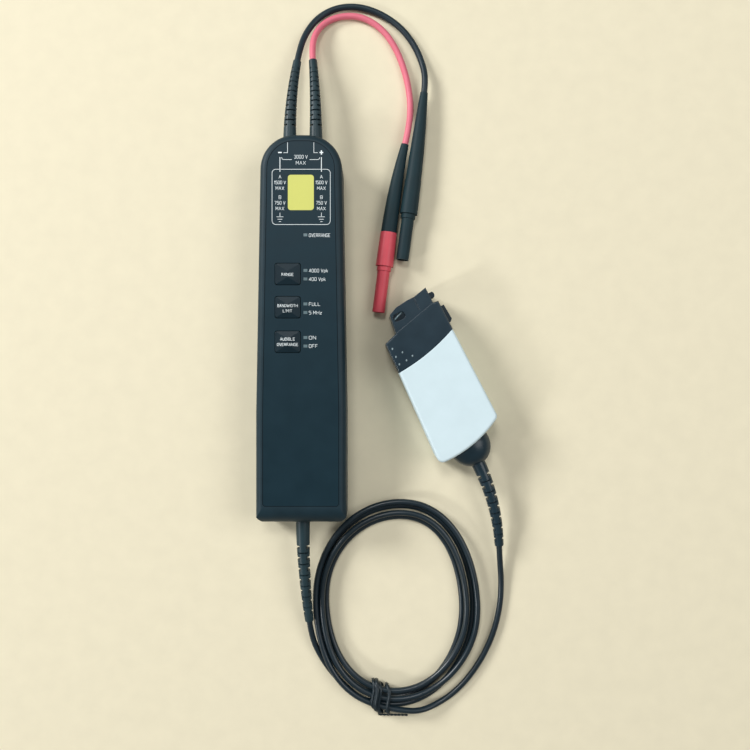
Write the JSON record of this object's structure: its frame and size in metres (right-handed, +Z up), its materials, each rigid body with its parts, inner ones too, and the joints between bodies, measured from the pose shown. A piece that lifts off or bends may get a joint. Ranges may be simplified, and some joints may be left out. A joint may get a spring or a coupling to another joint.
{
  "type": "oscilloscope probe",
  "caption": "Differential voltage probe: long control box, shrouded input plugs on leads, a tied coil of output cable and a latching connector box.",
  "frame": {"origin": "middle of the control box's underside, on the surface it rests on", "axes": "+Y along the control box towards its input leads, +Z up, +X towards the connector box"},
  "size_m": [0.1556, 0.4607, 0.0314],
  "materials": {
    "case_plastic": "fine matt moulding",
    "overlay_film": "satin film",
    "key_rubber": "soft-touch key",
    "switch_plastic": "matt",
    "lamp": "diffusing",
    "light_pipe": "smoked",
    "board": "solder-resist",
    "chip": "matt",
    "ceramic": "glazed coating",
    "barrier": "matt sheet",
    "tin": "tinned",
    "screw_steel": "zinc",
    "terminal": "moulded",
    "relief_rubber": "ribbed moulding",
    "black_lead": "silicone",
    "red_lead": "silicone",
    "grey_cable": "pvc jacket",
    "black_plug": "moulded",
    "red_plug": "moulded",
    "nickel": "nickel plate",
    "spring_brass": "spring brass",
    "pale_shell": "matt moulding",
    "hood_plastic": "matt moulding",
    "insulator": "natural",
    "gold": "gold plate",
    "comp_relief": "glossy moulding",
    "tie": "plastic over wire"
  },
  "bodies": {
    "root": {"front_shell": "case_plastic", "rear_shell": "case_plastic", "panel_overlay": "overlay_film", "tact_switches": "switch_plastic", "indicator_lamps": "lamp", "light_pipes": "light_pipe", "main_board": "board", "board_screws": "screw_steel", "attenuator_resistors": "ceramic", "isolation_barrier": "barrier", "shield_can": "tin", "amplifier_chips": "chip", "buzzer": "chip", "input_terminals": "terminal", "output_connector": "terminal", "case_screws": "screw_steel", "negative_input_boot": "relief_rubber", "positive_input_boot": "relief_rubber", "output_boot": "relief_rubber", "negative_lead_end": "black_lead", "positive_lead_end": "red_lead", "output_cable_end": "grey_cable", "black_plug_body": "black_plug", "black_plug_pin": "nickel", "black_plug_cage": "spring_brass", "black_plug_boot": "black_plug", "red_plug_body": "red_plug", "red_plug_pin": "nickel", "red_plug_cage": "spring_brass", "red_plug_boot": "black_plug", "comp_shell_upper": "pale_shell", "comp_shell_lower": "pale_shell", "comp_screws": "screw_steel", "connector_hood": "hood_plastic", "latch_pin": "screw_steel", "latch_spring": "screw_steel", "connector_barrel": "nickel", "connector_insulator": "insulator", "connector_pin": "gold", "contact_block": "insulator", "comp_board": "board", "comp_chips": "chip", "cable_block": "terminal", "comp_boot": "comp_relief", "comp_cable_end": "grey_cable", "black_lead": "black_lead", "red_lead": "red_lead", "output_cable_start": "grey_cable", "output_cable_coil": "grey_cable", "output_cable_tail": "grey_cable", "twist_tie": "tie"},
    "range_key_body": {"range_key": "key_rubber", "range_switch_plunger": "switch_plastic"},
    "bandwidth_key_body": {"bandwidth_key": "key_rubber", "bandwidth_switch_plunger": "switch_plastic"},
    "audible_key_body": {"audible_key": "key_rubber", "audible_switch_plunger": "switch_plastic"},
    "latch": {"latch_lever": "hood_plastic"},
    "contacts": {"sprung_contacts": "gold"}
  },
  "joints": [
    {"name": "range_key_press", "type": "slide", "parent": "root", "child": "range_key_body", "axis": [0, 0, -1], "range_m": [0, 0.0008], "stiffness_N_per_m": 600},
    {"name": "bandwidth_key_press", "type": "slide", "parent": "root", "child": "bandwidth_key_body", "axis": [0, 0, -1], "range_m": [0, 0.0008], "stiffness_N_per_m": 600},
    {"name": "audible_key_press", "type": "slide", "parent": "root", "child": "audible_key_body", "axis": [0, 0, -1], "range_m": [0, 0.0008], "stiffness_N_per_m": 600},
    {"name": "latch_release", "type": "hinge", "parent": "root", "child": "latch", "pos_m": [0.08637, -0.00144, 0.013], "axis": [0, 0, 1], "range_deg": [0, 5], "stiffness_Nm_per_rad": 0.05},
    {"name": "contact_travel", "type": "slide", "parent": "root", "child": "contacts", "axis": [0.4368, -0.8996, 0], "range_m": [0, 0.001], "stiffness_N_per_m": 600}
  ]
}
